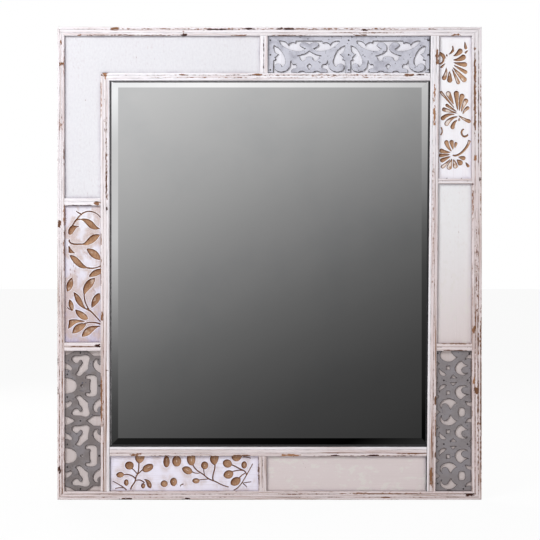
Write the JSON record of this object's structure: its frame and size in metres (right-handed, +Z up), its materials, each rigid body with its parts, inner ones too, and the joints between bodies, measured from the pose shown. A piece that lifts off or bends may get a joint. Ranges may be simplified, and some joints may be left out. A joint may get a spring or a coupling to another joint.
{
  "type": "framed wall mirror",
  "caption": "Large wall mirror: bevelled glass in a patchwork frame of whitewashed grooved rails with carved, plain and pierced-tin panels, hung on D-ring hangers.",
  "frame": {"origin": "middle of the bottom edge, midway through the depth", "axes": "+Z up, the mirror faces -Y and the wall is at +Y, +X to the right as seen from the front"},
  "size_m": [0.9, 0.0302, 1.003],
  "materials": {
    "white_rail": "whitewashed pine, worn to bare wood on its edges",
    "cream_panel": "matt cream paint on board, lightly grimed at the edges",
    "carved_wood": "whitewashed ground with bare golden brown wood in the carving",
    "tin": "dull aged tin, faintly mottled, dark at the cut edges",
    "tin_backing": "pale whitewashed board",
    "nail_steel": "dull, slightly rusted",
    "mirror": "clear silvered glass with polished bevels",
    "card": "plain grey-brown card",
    "cork": "raw cork",
    "plywood": "raw rotary-cut plywood",
    "zinc_steel": "bright zinc plate",
    "rubber": "soft black rubber"
  },
  "bodies": {
    "frame": {"outer_rail_left": "white_rail", "outer_rail_right": "white_rail", "outer_rail_top": "white_rail", "outer_rail_bottom": "white_rail", "inner_stile_left": "white_rail", "inner_stile_right": "white_rail", "inner_rail_top": "white_rail", "inner_rail_bottom": "white_rail", "divider_top": "white_rail", "divider_bottom": "white_rail", "divider_left_high": "white_rail", "divider_left_low": "white_rail", "divider_right_high": "white_rail", "divider_right_low": "white_rail", "plain_panel_corner": "cream_panel", "plain_panel_right": "cream_panel", "plain_panel_bottom": "cream_panel", "carved_panel_left": "carved_wood", "carved_panel_right": "carved_wood", "carved_panel_bottom": "carved_wood", "tin_sheet_top": "tin", "tin_sheet_left": "tin", "tin_sheet_right": "tin", "tin_backing_top": "tin_backing", "tin_backing_left": "tin_backing", "tin_backing_right": "tin_backing", "tin_tacks_top": "nail_steel", "tin_tacks_left": "nail_steel", "tin_tacks_right": "nail_steel", "divider_brads": "nail_steel", "mirror_glass": "mirror", "glass_pad": "card", "setting_blocks": "cork", "backing_board": "plywood", "board_screws": "zinc_steel", "left_hanger_strap": "zinc_steel", "right_hanger_strap": "zinc_steel", "left_hanger_screws": "zinc_steel", "right_hanger_screws": "zinc_steel", "wall_bumpers": "rubber"},
    "left_ring": {"left_d_ring": "zinc_steel"},
    "right_ring": {"right_d_ring": "zinc_steel"}
  },
  "joints": [
    {"name": "left_ring_swing", "type": "hinge", "parent": "frame", "child": "left_ring", "pos_m": [-0.395, 0.012, 0.7415], "axis": [-1, 0, 0], "range_deg": [0, 180]},
    {"name": "right_ring_swing", "type": "hinge", "parent": "frame", "child": "right_ring", "pos_m": [0.395, 0.012, 0.7415], "axis": [-1, 0, 0], "range_deg": [0, 180]}
  ]
}
